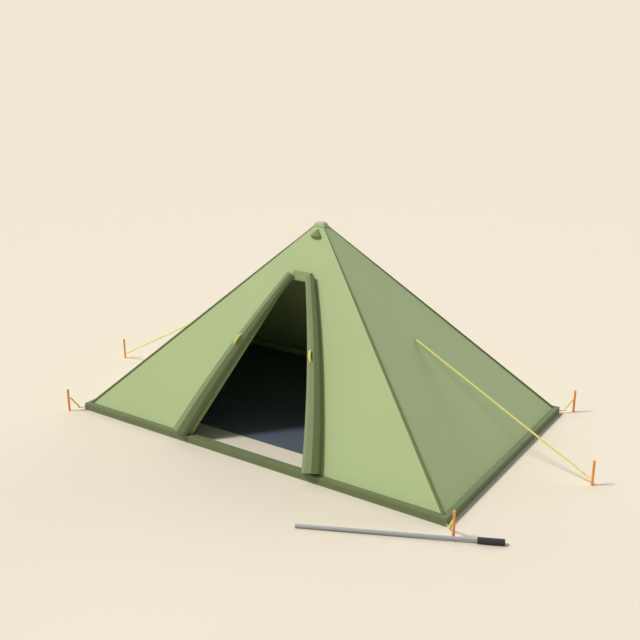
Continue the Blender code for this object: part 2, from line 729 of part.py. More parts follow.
for corner, (sx, sy) in CORNERS.items():
    corner_tab("corner_tab_" + corner, sx, sy)


# Guy patches: small stiffened patches in the middle of three panels

def guy_patch(name, normal, centre):
    level = Vector((0, 0, 1)).cross(normal).normalized()
    slope = normal.cross(level)
    a, b, cut = PATCH_LENGTH / 2, PATCH_WIDTH / 2, PATCH_WIDTH * 0.2
    outline = [(-b + cut, -a), (b - cut, -a), (b, -a + cut), (b, a - cut),
               (b - cut, a), (-b + cut, a), (-b, a - cut), (-b, -a + cut)]
    rings = []
    for height in (GAP, GAP + PATCH_THICKNESS):
        rings.append([centre + level * u + slope * v + normal * height for u, v in outline])
    bm = bmesh.new()
    skin(bm, rings)
    finish_object(name, bm, PANEL_CLOTH)


normal_right = NORMAL_SIDE
normal_left = Vector((-NORMAL_SIDE.x, 0.0, NORMAL_SIDE.z))
normal_back = Vector((0.0, -NORMAL_FRONT.y, NORMAL_FRONT.z))
on_right = Vector((half_x(GUY_HEIGHT), 0.0, GUY_HEIGHT))
on_left = Vector((-half_x(GUY_HEIGHT), 0.0, GUY_HEIGHT))
on_back = Vector((0.0, half_y(GUY_HEIGHT), GUY_HEIGHT))
guy_patch("guy_patch_right", normal_right, on_right)
guy_patch("guy_patch_left", normal_left, on_left)
guy_patch("guy_patch_back", normal_back, on_back)


# Cords: straight runs from a patch or tab to the side of a peg

def cord(name, seat, seat_normal, peg_xy, peg_z):
    """A cord that stands on a flat seat and ends against a round peg."""
    r = CORD_DIAMETER / 2
    start = seat.copy()
    end = Vector((*peg_xy, peg_z))
    for _ in range(8):
        way = (end - start).normalized()
        tilt = math.sqrt(max(0.0, 1 - way.dot(seat_normal) ** 2))
        start = seat + seat_normal * (r * tilt + GAP)
        level = Vector((way.x, way.y, 0.0))
        back = PEG_DIAMETER / 2 + r * abs(way.z) + GAP
        end = Vector((*peg_xy, peg_z)) - level.normalized() * back
    length = (end - start).length
    count = max(2, min(40, int(length / (CORD_DIAMETER * 2.5)) + 1))
    curve = bpy.data.curves.new(name, 'CURVE')
    curve.dimensions = '3D'
    curve.bevel_depth = r
    curve.bevel_resolution = 2
    curve.use_fill_caps = True
    spline = curve.splines.new('POLY')
    spline.points.add(count - 1)
    for i in range(count):
        point = start.lerp(end, i / (count - 1))
        spline.points[i].co = (*point, 1.0)
    curve.materials.append(CORD_YELLOW)
    obj = bpy.data.objects.new(name, curve)
    bpy.context.scene.collection.objects.link(obj)
    print(name, "length", round(length, 4))


patch_top = GAP + PATCH_THICKNESS
cord("guy_line_right", on_right + normal_right * patch_top, normal_right, (side_x, 0.0), GUY_PEG_HEIGHT)
cord("guy_line_left", on_left + normal_left * patch_top, normal_left, (-side_x, 0.0), GUY_PEG_HEIGHT)
cord("guy_line_back", on_back + normal_back * patch_top, normal_back, (0.0, back_y), GUY_PEG_HEIGHT)
for corner, (sx, sy) in CORNERS.items():
    reach = TAB_CORD_REACH / math.sqrt(2)
    seat = Vector((sx * (BASE_WIDTH / 2 + reach), sy * (BASE_DEPTH / 2 + reach),
                   TAB_HEIGHT + TAB_THICKNESS))
    cord("corner_cord_" + corner, seat, Vector((0, 0, 1)), (sx * corner_x, sy * corner_y),
         CORNER_CORD_HEIGHT)
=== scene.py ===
# %% [markdown]
# # A pyramid shelter on a walking pole
# This lesson dresses a finished CAD model of a small tent: thin cloth drawn flat over one
# pole, a raised hem, rolled door halves, cords, pegs and a second pole on the ground.
# The CAD model fixes every size and place. Here each soft piece is made again as cloth,
# and each surface gets the material of the real thing. Lengths are in metres, +Z is up
# and the door faces -Y.

import math

import bmesh
import bpy
from mathutils import Euler, Matrix, Vector, noise


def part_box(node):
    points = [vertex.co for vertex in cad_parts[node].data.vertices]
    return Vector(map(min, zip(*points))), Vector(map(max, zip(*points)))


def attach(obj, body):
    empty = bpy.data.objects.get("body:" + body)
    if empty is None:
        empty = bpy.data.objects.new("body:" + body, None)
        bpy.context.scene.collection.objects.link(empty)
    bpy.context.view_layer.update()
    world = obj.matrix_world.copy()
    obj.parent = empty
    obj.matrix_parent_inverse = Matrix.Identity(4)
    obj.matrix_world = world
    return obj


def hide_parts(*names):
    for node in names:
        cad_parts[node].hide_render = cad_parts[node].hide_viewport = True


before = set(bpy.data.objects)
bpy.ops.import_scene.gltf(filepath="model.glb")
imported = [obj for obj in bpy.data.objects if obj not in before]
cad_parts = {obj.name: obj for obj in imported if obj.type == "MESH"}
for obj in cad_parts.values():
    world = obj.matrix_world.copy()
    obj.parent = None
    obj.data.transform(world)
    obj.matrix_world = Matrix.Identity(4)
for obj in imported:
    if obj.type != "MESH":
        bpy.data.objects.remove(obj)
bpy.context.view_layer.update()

# %% [markdown]
# ## Camera
# The picture was taken from the front right, above head height, with a normal lens. A view
# can be set by eye, but then nothing lines up exactly. This one was solved instead, from
# the hem's corners and the tops of the pegs, so each piece can be compared in its place.

# %% Camera
EYE_PLACE = (2.9382, -4.4350, 2.3882)
EYE_TILT, EYE_TURN = 71.68, 33.596
eye = bpy.data.cameras.new("picture_camera")
eye.lens = 50
eye.sensor_width = 36
eye_object = bpy.data.objects.new("picture_camera", eye)
bpy.context.scene.collection.objects.link(eye_object)
eye_object.location = EYE_PLACE
eye_object.rotation_euler = Euler((math.radians(EYE_TILT), 0.0, math.radians(EYE_TURN)))
bpy.context.scene.camera = eye_object
print("camera at", tuple(eye_object.location))

# %% [markdown]
# ## Sizes shared with the CAD model
# The four panels are planes that rise from the top of the hem to a point above the pole. A
# place on one is given by how far it is across, how far up the slope and how far out of it.
# One function then serves all four sides, where plain coordinates would need four sets.

# %% Sizes and panel directions
SHELTER_W, SHELTER_D = 2.61, 1.66  # over the hem, on the ground
HALF_W, HALF_D = 1.27, 0.795       # from the middle to where the panels leave the hem
HEM = 0.045                        # height of the hem
HEM_TUCK = 0.012                   # how far the hem reaches inside the panels
APEX = 1.265                       # where the planes of the panels would meet
PANEL_TOP = 1.24215                # where the panels end, below the apex cover
RISE = APEX - HEM
GAP = 0.0003                       # left between pieces that touch
CORNERS = {"front_left": (-1, -1), "front_right": (1, -1),
           "back_left": (-1, 1), "back_right": (1, 1)}


def face_frame(turn):
    """Foot of a panel, directions across, up the slope and out of it, and its half width."""
    half, away = (HALF_W, HALF_D) if turn % 180 == 0 else (HALF_D, HALF_W)
    spin = Matrix.Rotation(math.radians(turn), 3, 'Z')
    across = spin @ Vector((1, 0, 0))
    up = spin @ Vector((0, away, RISE)).normalized()
    out = spin @ Vector((0, -RISE, away)).normalized()
    foot = spin @ Vector((0, -away, 0)) + Vector((0, 0, HEM))
    return foot, across, up, out, half


def slope(turn):
    """Length along a panel for each metre of height."""
    return math.hypot(RISE, HALF_D if turn % 180 == 0 else HALF_W) / RISE


def on_front(x, z, lift):
    """A place on the front panel, from its side position, its height and its lift off it."""
    foot, across, up, out, _ = face_frame(0)
    return foot + across * x + up * ((z - HEM) * slope(0)) + out * lift


FRONT_OUT = face_frame(0)[3]
print("front slope length", round(RISE * slope(0), 3), "side", round(RISE * slope(90), 3))

# %% [markdown]
# ## Helpers for colours and materials
# Colours are written as they look, in sRGB hex, and turned to linear here. Materials could
# be wired by hand, node by node. Small functions that add a node with its settings and
# links make each one a short recipe instead: a pattern, the two colours that it mixes, and
# the height that it gives the surface.

# %% Colour and node helpers


def linear(code):
    """Linear red, green, blue and alpha of an sRGB hex colour."""
    parts = [int(code[i:i + 2], 16) / 255 for i in (1, 3, 5)]
    return tuple(c / 12.92 if c <= 0.04045 else ((c + 0.055) / 1.055) ** 2.4 for c in parts) + (1.0,)


def add_node(owner, kind, inputs=None, **settings):
    """A node of a material or world; inputs that are sockets are linked, the others set."""
    new = owner.node_tree.nodes.new(kind)
    for key, value in settings.items():
        setattr(new, key, value)
    for key, value in (inputs or {}).items():
        if isinstance(value, bpy.types.NodeSocket):
            owner.node_tree.links.new(value, new.inputs[key])
        else:
            new.inputs[key].default_value = value
    return new


def maths(owner, operation, *values):
    """The result of a calculation with sockets and numbers."""
    return add_node(owner, "ShaderNodeMath", dict(enumerate(values)), operation=operation).outputs[0]


def mix(owner, share, first, second):
    """The first colour at share 0 and the second at 1; each is a hex colour or a socket."""
    ends = [linear(end) if isinstance(end, str) else end for end in (first, second)]
    return add_node(owner, "ShaderNodeMix", {0: share, 6: ends[0], 7: ends[1]},
                    data_type='RGBA').outputs[2]


print("light green", [round(v, 3) for v in linear("#b5c28c")[:3]])

# %% Texture and material helpers


def texture(mat, kind, scale, **inputs):
    """A texture that stays with its piece, because it reads the piece's own coordinates."""
    place = add_node(mat, "ShaderNodeTexCoord")
    return add_node(mat, "ShaderNodeTex" + kind,
                    {"Vector": place.outputs["Object"], "Scale": scale, **inputs})


def thread_grid(mat, cell, line, soft):
    """Lines along and across a cloth, 1 on a line and 0 between, from its UV map in metres."""
    place = add_node(mat, "ShaderNodeTexCoord")
    cells = add_node(mat, "ShaderNodeMapping", {"Vector": place.outputs["UV"],
                                                "Scale": (1 / cell, 1 / cell, 1)})
    bricks = {"Vector": cells.outputs[0], "Scale": 1.0, "Brick Width": 1.0, "Row Height": 1.0,
              "Mortar Size": line, "Mortar Smooth": soft}
    return add_node(mat, "ShaderNodeTexBrick", bricks, offset=0.0, squash=1.0).outputs["Fac"]


def start_material(name, roughness, metallic=0.0, **sockets):
    """A new material and its main shader, with the shader's plain values set."""
    mat = bpy.data.materials.new(name)
    mat.use_nodes = True
    shader = mat.node_tree.nodes["Principled BSDF"]
    shader.inputs["Roughness"].default_value = roughness
    shader.inputs["Metallic"].default_value = metallic
    for key, value in sockets.items():
        shader.inputs[key.replace("_", " ")].default_value = value
    return mat, shader


def finish_material(mat, shader, color, height, distance, strength):
    """Link a colour and a bump; distance is the bump's height in metres."""
    mat.node_tree.links.new(color, shader.inputs["Base Color"])
    bump = add_node(mat, "ShaderNodeBump", {"Height": height, "Distance": distance,
                                            "Strength": strength})
    mat.node_tree.links.new(bump.outputs["Normal"], shader.inputs["Normal"])
    return mat


print("CAD nodes to dress or to stand for", len(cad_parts))

# %% [markdown]
# ## Coated ripstop nylon for the panels
# Tent cloth is a thin nylon weave with thicker threads every few millimetres that stop a
# tear, coated so that it has a soft, slightly satin face. A picture of cloth could be laid
# on, but a computed grid stays sharp at any distance. The real grid is about 5 mm, finer
# than a pixel here, so it is drawn at 14 mm and kept faint. It follows the cloth, because
# it reads the panel's own UV map, which is in metres.

# %% Panel cloth
THREAD_CELL = 0.014                     # between the thicker threads
THREAD_LINE = 0.055                     # width of such a thread, in cells
THREAD_SHARE = 0.35                     # how much of its tone shows
PANEL_DARK, PANEL_LIGHT = "#b0c287", "#b7ca8d"
# An even, light green with a soft sheen.
panel_cloth, shader = start_material("coated ripstop nylon", 0.62, Sheen_Weight=0.12,
                                     Sheen_Roughness=0.5)
threads = thread_grid(panel_cloth, THREAD_CELL, THREAD_LINE, 0.6)
cloud = texture(panel_cloth, "Noise", 2.2, Detail=3.0, Roughness=0.55).outputs["Fac"]
weave = texture(panel_cloth, "Noise", 420.0, Detail=1.0).outputs["Fac"]
color = mix(panel_cloth, maths(panel_cloth, 'MULTIPLY', threads, THREAD_SHARE),
            mix(panel_cloth, cloud, PANEL_DARK, PANEL_LIGHT), PANEL_LIGHT)
height = maths(panel_cloth, 'ADD', threads, maths(panel_cloth, 'MULTIPLY', weave, 0.5))
finish_material(panel_cloth, shader, color, height, 0.0004, 0.35)
print("made", panel_cloth.name)

# %% [markdown]
# ## Woven cloth for hem, tapes, rolls, hood and straps
# The hem and the ridge tapes are a heavier woven polyester in a deeper green. A twill has
# fine diagonal ribs, about 1 mm wide in reality and drawn at 3 or 4 mm. Two rows of thread
# run along the hem's edges. Stitches could be modelled one by one, but at this distance a
# pattern of short dashes gives the same. The rolled and stiffened pieces and the webbing
# straps are woven too, so one function makes them all and only the colours differ.

# %% Binding cloth
ROW_HALF = 0.0011                       # half the width of a row of stitches
STITCH, STITCH_GAP = 0.008, 0.0028      # half of the pitch and of the gap


def binding(name, light, dark, rib, rows=()):
    """Twill in two tones; rows are the heights of lines of stitches."""
    mat, shader = start_material(name, 0.8, Sheen_Weight=0.1)
    bands = 1 / rib / 6.283 * 2  # the texture's scale at which a rib is about that wide
    twill = texture(mat, "Wave", bands, Distortion=0.6, Detail=1.0)
    twill.bands_direction = 'DIAGONAL'
    height = twill.outputs["Fac"]
    cloud = texture(mat, "Noise", 14.0, Detail=4.0).outputs["Fac"]
    color = mix(mat, maths(mat, 'MULTIPLY', height, cloud), dark, light)
    place = add_node(mat, "ShaderNodeTexCoord")
    axis = add_node(mat, "ShaderNodeSeparateXYZ", {0: place.outputs["Object"]}).outputs
    for z in rows:
        in_row = maths(mat, 'COMPARE', axis["Z"], z, ROW_HALF)
        along = maths(mat, 'PINGPONG', maths(mat, 'ADD', axis["X"], axis["Y"]), STITCH)
        stitch = maths(mat, 'MULTIPLY', in_row, maths(mat, 'GREATER_THAN', along, STITCH_GAP))
        color = mix(mat, stitch, color, "#8d9a68")
        height = maths(mat, 'ADD', height, stitch)
    return finish_material(mat, shader, color, height, 0.0004, 0.4)


# Deep green band with two rows of paler stitches.
hem_cloth = binding("woven polyester hem", "#77835a", "#6d7950", 0.003, (0.007, 0.0375))
# The same deep green, as a thin line along each ridge.
tape_cloth = binding("woven polyester tape", "#7b8658", "#707b4f", 0.003)
# Duller than the panels, because the rolls show the cloth's uncoated side.
rolled_cloth = binding("rolled tent cloth", "#8f9e70", "#849367", 0.004)
# The same side of the cloth as the rolls, painted a little lighter for the light that the flat header
# catches.
header_cloth_painted_lighter = binding("rolled tent cloth painted lighter", "#9aab73", "#8fa06a", 0.004)
# Grey green, so that the small hood stands out from the panel.
hood_cloth = binding("stiffened tent cloth", "#869463", "#7c8a5a", 0.003)
# Pale straps that hardly stand out from the floor.
webbing = binding("pale polyester webbing", "#cfc8a2", "#bfb890", 0.003)
for cloth in (hem_cloth, tape_cloth, rolled_cloth, header_cloth_painted_lighter, hood_cloth, webbing):
    print("made", cloth.name)

# %% [markdown]
# ## Groundsheet, netting and cord
# The groundsheet is a polyester with a smooth coating, dark blue grey and a little shiny.
# The netting is a fine knit, a dark solid with the holes only drawn, painted nearly black
# for the shade inside the tent that shows through it. The cord is a braid: strands wind round
# it both ways, about 9 mm to a turn. Modelled strands would be far finer than a pixel, so two
# sine waves draw them on the UV map, which runs along and around the cord.

# %% Groundsheet cloth and netting
SHEET_CELL = 1 / 60                     # between its threads
# Dark blue grey, painted a little bluer for the light from the sky on it.
sheet_cloth, shader = start_material("coated polyester groundsheet", 0.55)
cloud = texture(sheet_cloth, "Noise", 3.0, Detail=4.0).outputs["Fac"]
finish_material(sheet_cloth, shader, mix(sheet_cloth, cloud, "#59636f", "#616c79"),
                thread_grid(sheet_cloth, SHEET_CELL, 0.05, 0.1), 0.0003, 0.3)

# Nearly black, painted with the shade inside the tent that shows through the holes, so that the vent
# looks open.
netting, shader = start_material("knitted nylon netting", 0.9)
holes = texture(netting, "Voronoi", 420.0, Randomness=0.15).outputs["Distance"]
finish_material(netting, shader, mix(netting, holes, "#0b0d09", "#2b3024"), holes, 0.0004, 0.5)
print("made", sheet_cloth.name, "and", netting.name)

# %% Braided cord
FULL_TURN = 6.2832                      # in radians
TURN_LENGTH = 0.009
WAVES_ALONG, WAVES_ROUND = 2, 3         # in one turn's length, and once round the cord


def braid(name, dark, light, sheen):
    """Strands that wind both ways; sheen is the light that fibre ends catch at the sides."""
    mat, shader = start_material(name, 0.6, Sheen_Weight=sheen, Sheen_Roughness=0.6,
                                 Sheen_Tint=linear("#fff7b8"))
    place = add_node(mat, "ShaderNodeTexCoord")
    split = add_node(mat, "ShaderNodeSeparateXYZ", {0: place.outputs["UV"]}).outputs
    turns = maths(mat, 'MULTIPLY', split["X"], FULL_TURN * WAVES_ALONG / TURN_LENGTH)
    round_it = maths(mat, 'MULTIPLY', split["Y"], FULL_TURN * WAVES_ROUND)
    strands = [maths(mat, 'SINE', maths(mat, way, turns, round_it)) for way in ('ADD', 'SUBTRACT')]
    over = maths(mat, 'MAXIMUM', *strands)
    share = add_node(mat, "ShaderNodeMapRange", {"Value": over, "From Min": -0.4, "From Max": 1.0})
    return finish_material(mat, shader, mix(mat, share.outputs[0], dark, light), over, 0.0005, 0.6)


# Pale yellow with bright sides, as thin cord in daylight looks.
cord_braid = braid("braided polyester cord", "#fff782", "#fffda0", 0.7)
# A stronger yellow, as the tie loops show it.
tie_braid = braid("braided polyester tie cord", "#fbf04a", "#ffff88", 0.1)
print("made", cord_braid.name, "and", tie_braid.name)

# %% [markdown]
# ## Hard materials
# Pegs are round steel rod with a powder coat, which is satin with a faint orange peel.
# Pole tubes are aluminium, drawn and anodised grey: smooth metal with fine lines. The grip
# is moulded EVA foam, dull and dark with small pores. The cup is moulded nylon. The CAD
# solids already have the right shape, so they only get a material, and what roughness they
# have comes from computed noise, as nothing on them is wide enough to model.

# %% Peg paint, pole metal, foam and plastic
# Bright orange with a soft shine.
peg_paint, shader = start_material("powder coated steel", 0.42)
peel = texture(peg_paint, "Noise", 260.0, Detail=2.0).outputs["Fac"]
wear = texture(peg_paint, "Noise", 45.0, Detail=4.0).outputs["Fac"]
finish_material(peg_paint, shader, mix(peg_paint, wear, "#ff9f52", "#ffad5f"), peel, 0.0004, 0.25)

# Light grey with a blurred reflection that is uneven along the tube.
tube_metal, shader = start_material("anodised aluminium tube", 0.4, 0.3)
smear = texture(tube_metal, "Noise", 90.0, Detail=5.0).outputs["Fac"]
finish_material(tube_metal, shader, mix(tube_metal, smear, "#a8acb2", "#b6babf"), smear, 0.0002, 0.15)
rough = add_node(tube_metal, "ShaderNodeMapRange", {"Value": smear, "To Min": 0.32, "To Max": 0.46})
tube_metal.node_tree.links.new(rough.outputs[0], shader.inputs["Roughness"])

# Nearly black and quite dull, with painted shade in its pores.
foam, shader = start_material("moulded EVA foam", 0.85)
pores = texture(foam, "Voronoi", 520.0).outputs["Distance"]
finish_material(foam, shader, mix(foam, pores, "#2d2e30", "#424346"), pores, 0.0005, 0.5)

# Black with a faint grain.
moulded, shader = start_material("moulded nylon", 0.5)
grain = texture(moulded, "Noise", 600.0, Detail=2.0).outputs["Fac"]
finish_material(moulded, shader, mix(moulded, grain, "#2b2b2d", "#38383b"), grain, 0.0002, 0.3)
print("made", peg_paint.name, tube_metal.name, foam.name, moulded.name)

# %% Give the hard CAD pieces their materials
for name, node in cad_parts.items():
    if name.startswith("peg_"):
        finish = peg_paint
    elif "shaft" in name or name.endswith("tip"):
        finish = tube_metal
    elif name.endswith("grip"):
        finish = foam
    else:
        finish = moulded
    node.data.materials.clear()
    node.data.materials.append(finish)
print("dressed", len(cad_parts), "CAD nodes")

# %% [markdown]
# ## Helpers for new pieces
# Every new piece becomes an object at the origin, rides on the shelter's body, gets its
# material and hides the plain CAD solids that it stands for. The pieces are made in
# bmesh rather than by modifiers, because each step can then be aimed at chosen edges.

# %% Piece helpers


def piece(name, bm, material, nodes, smooth=40, closed=True):
    """An object from a bmesh; a closed body's big faces keep their own flat shading."""
    if closed:
        bmesh.ops.remove_doubles(bm, verts=bm.verts, dist=1e-6)
        bmesh.ops.recalc_face_normals(bm, faces=bm.faces)
    bm.edges.index_update()
    rim = [e.index for e in bm.edges if e.is_boundary]
    mesh = bpy.data.meshes.new(name)
    bm.to_mesh(mesh)
    bm.free()
    mesh.shade_smooth()
    mesh.set_sharp_from_angle(angle=math.radians(smooth))
    for index in rim:
        mesh.edges[index].use_edge_sharp = True
    mesh.materials.append(material)
    obj = bpy.data.objects.new(name, mesh)
    bpy.context.scene.collection.objects.link(obj)
    if closed:
        even = obj.modifiers.new("even shading", 'WEIGHTED_NORMAL')
        even.keep_sharp = True
    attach(obj, "shelter")
    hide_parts(*nodes)
    print(name, len(mesh.polygons), "faces")
    return obj


def thicken(sheet, thickness):
    """Give an open sheet the thickness of its cloth, on the back of its faces."""
    cloth = sheet.modifiers.new("cloth", 'SOLIDIFY')
    cloth.thickness = thickness
    cloth.offset = -1


def from_node(node):
    """A merged copy of a CAD node's triangles, with its flat sides joined up again."""
    bm = bmesh.new()
    bm.from_mesh(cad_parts[node].data)
    bmesh.ops.remove_doubles(bm, verts=bm.verts, dist=1e-5)
    bmesh.ops.dissolve_limit(bm, angle_limit=math.radians(1.0), verts=bm.verts, edges=bm.edges)
    return bm


# %% Helpers that cut, round and turn
SHARP = math.radians(25)


def cut(bm, point, normal, **options):
    """Cut everything by a plane."""
    every = bm.verts[:] + bm.edges[:] + bm.faces[:]
    return bmesh.ops.bisect_plane(bm, geom=every, dist=1e-7, plane_co=point, plane_no=normal,
                                  **options)


def trim(bm, point, normal):
    """Keep the side of a plane that its normal points to, and close the cut."""
    done = cut(bm, point, normal, clear_inner=True)
    rim = [e for e in done["geom_cut"] if isinstance(e, bmesh.types.BMEdge)]
    bmesh.ops.holes_fill(bm, edges=rim, sides=0)


def round_off(bm, edges, width, segments):
    """Round some edges."""
    bmesh.ops.bevel(bm, geom=edges, offset=width, offset_type='OFFSET', segments=segments,
                    profile=0.5, affect='EDGES', clamp_overlap=True, material=-1)


def soften(bm, width, segments):
    """Round every sharp edge, as folded cloth is."""
    sharp = [e for e in bm.edges if len(e.link_faces) == 2 and e.calc_face_angle(0.0) > SHARP]
    round_off(bm, sharp, width, segments)


def face_out(bm, out, probe):
    """Make an open sheet's faces look outward, judged by one of them."""
    bmesh.ops.recalc_face_normals(bm, faces=bm.faces)
    if bm.faces[:][probe].normal.dot(out) < 0:
        bmesh.ops.reverse_faces(bm, faces=bm.faces)


def flat_map(bm):
    """A UV map in metres, from where the cloth's points lie when it is flat."""
    uv = bm.loops.layers.uv.new("UVMap")
    for f in bm.faces:
        for loop in f.loops:
            loop[uv].uv = (loop.vert.co.x, loop.vert.co.y)


print("edges that turn by more than", round(math.degrees(SHARP)), "degrees are softened")

# %% [markdown]
# ## Cords
# The three guy lines and four corner cords are pulled straight, so each is one straight
# run from its patch or tab to the side of its peg. A simulation would only show again that
# a taut line is straight. A curve with a round section gives the tube and its UV map. It
# is then made a mesh, and the map is scaled to metres. Real guy line is 2 to 4 mm thick.
# The picture shows it about two pixels wide, so it is drawn thicker than it would be.

# %% Cord helper


def cord_piece(name, points, diameter, nodes, material):
    """A tube along some points; gives its object and its length."""
    data = bpy.data.curves.new(name, 'CURVE')
    data.dimensions = '3D'
    data.bevel_depth = diameter / 2
    data.bevel_resolution = 4
    data.use_fill_caps = True
    line = data.splines.new('POLY')
    line.points.add(len(points) - 1)
    for spot, point in zip(line.points, points):
        spot.co = (*point, 1.0)
    source = bpy.data.objects.new(name + "_line", data)
    mesh = bpy.data.meshes.new_from_object(source)
    mesh.name = name
    bpy.data.objects.remove(source)
    length = sum((b - a).length for a, b in zip(points, points[1:]))
    for corner in mesh.uv_layers[0].data:
        corner.uv.x *= length
    mesh.materials.clear()
    mesh.materials.append(material)
    mesh.shade_smooth()
    mesh.set_sharp_from_angle(angle=math.radians(60))
    obj = bpy.data.objects.new(name, mesh)
    bpy.context.scene.collection.objects.link(obj)
    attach(obj, "shelter")
    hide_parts(*nodes)
    print(name, "length", round(length, 4))
    return obj, length


# %% Straight cord
CORD = 0.0115                           # diameter, as drawn
PEG_R = 0.0075
STEP = 0.03                             # between the points of a cord


def straight_cord(name, node, seat, seat_normal, peg):
    """A taut cord from on top of a seat to the near side of a peg's middle line."""
    start, end = seat.copy(), peg
    for _ in range(8):  # each end depends on the cord's direction, so a few rounds settle it
        way = (end - start).normalized()
        tilt = math.sqrt(max(0.0, 1 - way.dot(seat_normal) ** 2))
        start = seat + seat_normal * (CORD / 2 * tilt + GAP)
        level = Vector((way.x, way.y, 0)).normalized()
        end = peg - level * (PEG_R + CORD / 2 * abs(way.z) + GAP)
    count = max(2, int((end - start).length / STEP) + 2)
    points = [start.lerp(end, i / (count - 1)) for i in range(count)]
    obj, length = cord_piece(name, points, CORD, [node], cord_braid)


# %% Guy lines
PATCH = 0.0015                          # thickness of the patch sewn to the panel
PATCH_TOP = GAP + PATCH
GUY_HEIGHT, GUY_TIE = 0.621, 0.036      # on the panel and on the peg
GUY_REACH = 0.474                       # from the hem to the peg
for side, turn in (("right", 90), ("left", -90), ("back", 180)):
    foot, _, up, out, _ = face_frame(turn)
    seat = foot + up * ((GUY_HEIGHT - HEM) * slope(turn)) + out * PATCH_TOP
    reach = (SHELTER_W if turn % 180 else SHELTER_D) / 2 + GUY_REACH
    level = Vector((out.x, out.y, 0)).normalized() * reach
    straight_cord("guy_cord_" + side, "guy_line_" + side, seat, out,
                  Vector((level.x, level.y, GUY_TIE)))

# %% Corner cords
TAB_REACH, TAB_TOP = 0.036, 0.019       # where a cord leaves the strap at a corner
CORNER_OUT, CORNER_TIE = 0.070, 0.090   # how far out the peg stands, and how high it is tied to


def past_corner(sx, sy, out, z):
    """A place that lies so far out of a corner of the hem, along both x and y."""
    return Vector((sx * (SHELTER_W / 2 + out), sy * (SHELTER_D / 2 + out), z))


for corner, (sx, sy) in CORNERS.items():
    seat = past_corner(sx, sy, TAB_REACH / math.sqrt(2), TAB_TOP)
    straight_cord("corner_line_" + corner, "corner_cord_" + corner, seat, Vector((0, 0, 1)),
                  past_corner(sx, sy, CORNER_OUT, CORNER_TIE))

# %% [markdown]
# ## Panels
# Each panel is one sheet of cloth, cut from a grid by the ridge lines and pulled taut. The
# front one is cut out for the door as well. Real cloth under tension hollows by a few
# millimetres between its edges and is drawn out again where something holds it. Cloth
# simulation would add folds, and the picture shows none, so a formula gives the hollow.

# %% Panel helpers
CELL = 0.028                            # size of the grid's squares
HOLLOW = 0.0045                         # how deep it is at most
NARROW = 0.02                           # half width below which a panel has none
DOOR_TOP, DOOR_FOOT, DOOR_HEAD = 0.93, 0.406, 0.081   # height, half width below and above


def hollow(across, rise, half, length, held):
    """How far the cloth lies behind its plane, zero at the edges and at what holds it."""
    edge = half * (1 - rise / length)
    if edge <= NARROW:
        return 0.0
    side = max(0.0, 1 - (abs(across) / edge) ** 2)
    tall = max(0.0, math.sin(math.pi * min(1.0, max(0.0, rise / length))))
    keep = 1.0
    for a, r, wide in held:
        near = math.hypot(across - a, rise - r) / wide
        keep *= 1 - math.exp(-near * near)
    return HOLLOW * side * tall * keep


def cut_door(bm, top_rise):
    """Cut a flat grid along the door's three sides and take out the faces between them."""
    lean = DOOR_FOOT - DOOR_HEAD
    for sign in (-1, 1):
        cut(bm, Vector((sign * DOOR_FOOT, 0, 0)), Vector((top_rise, sign * lean, 0)) * sign)
    cut(bm, Vector((0, top_rise, 0)), Vector((0, 1, 0)))
    inside = []
    for f in bm.faces:
        c = f.calc_center_median()
        if c.y < top_rise and abs(c.x) < DOOR_FOOT - lean * c.y / top_rise:
            inside.append(f)
    bmesh.ops.delete(bm, geom=inside, context='FACES')


# %% Panel
BELOW_HEM = 0.006                       # the cloth goes a little behind the hem's top
SEAM = 0.0005                           # left at each ridge, below its tape
PANEL_CLOTH = 0.001


def panel(name, turn, nodes, held, door=False):
    """One panel: a flat grid is cut and mapped, and then placed in its plane."""
    foot, across, up, out, half = face_frame(turn)
    length = RISE * slope(turn)
    low, high = -BELOW_HEM * slope(turn), (PANEL_TOP - HEM) * slope(turn)
    bm = bmesh.new()
    bmesh.ops.create_grid(bm, x_segments=int(2 * half / CELL), y_segments=int(high / CELL), size=1)
    bmesh.ops.scale(bm, vec=(half, (high - low) / 2, 1), verts=bm.verts)
    bmesh.ops.translate(bm, vec=(0, (low + high) / 2, 0), verts=bm.verts)
    for sign in (-1, 1):
        inward = Vector((-sign * length, -half, 0)).normalized()
        cut(bm, Vector((sign * (half - SEAM), 0, 0)), inward, clear_inner=True)
    if door:
        cut_door(bm, (DOOR_TOP - HEM) * slope(turn))
    flat_map(bm)
    flat = sum(f.calc_area() for f in bm.faces)
    for v in bm.verts:
        a, r = v.co.x, v.co.y
        v.co = foot + across * a + up * r - out * hollow(a, r, half, length, held)
    face_out(bm, out, 0)
    obj = piece(name, bm, panel_cloth, nodes, closed=False)
    thicken(obj, PANEL_CLOTH)


# %% The four panels
# What holds a panel is given as a place across and up the slope, and how far it reaches.
PATCH_HOLD, ROLL_HOLD = 0.22, 0.16
VENT = (0.0, 1.34, 0.2)


def roll_line(z):
    """About how far from the middle a door roll lies on the front panel."""
    return 0.4892 - 0.3266 * z - 0.1209 * z * z


for side, turn in (("right", 90), ("left", -90), ("back", 180)):
    patch = (0.0, (GUY_HEIGHT - HEM) * slope(turn), PATCH_HOLD)
    panel("canopy_" + side, turn, [side + "_panel"], [patch])
rolls = [(sign * roll_line(z), (z - HEM) * slope(0), ROLL_HOLD)
         for z in (0.05, 0.2, 0.35, 0.5, 0.65, 0.8, 0.93) for sign in (-1, 1)]
panel("canopy_front", 0, ["front_panel_left", "front_panel_right", "front_panel_upper"],
      rolls + [VENT], door=True)

# %% [markdown]
# ## Hem
# The hem is a folded band stuffed to stand up a little, mitred at the corners. A cloth
# simulation could blow it up, but the picture shows firm, straight bands. So each starts
# from its CAD solid, merged and with its edges softened as folds are, which keeps it
# exactly in place. The band is folded from two cloths: its inner face, seen through the
# door, is the panel's lighter one.

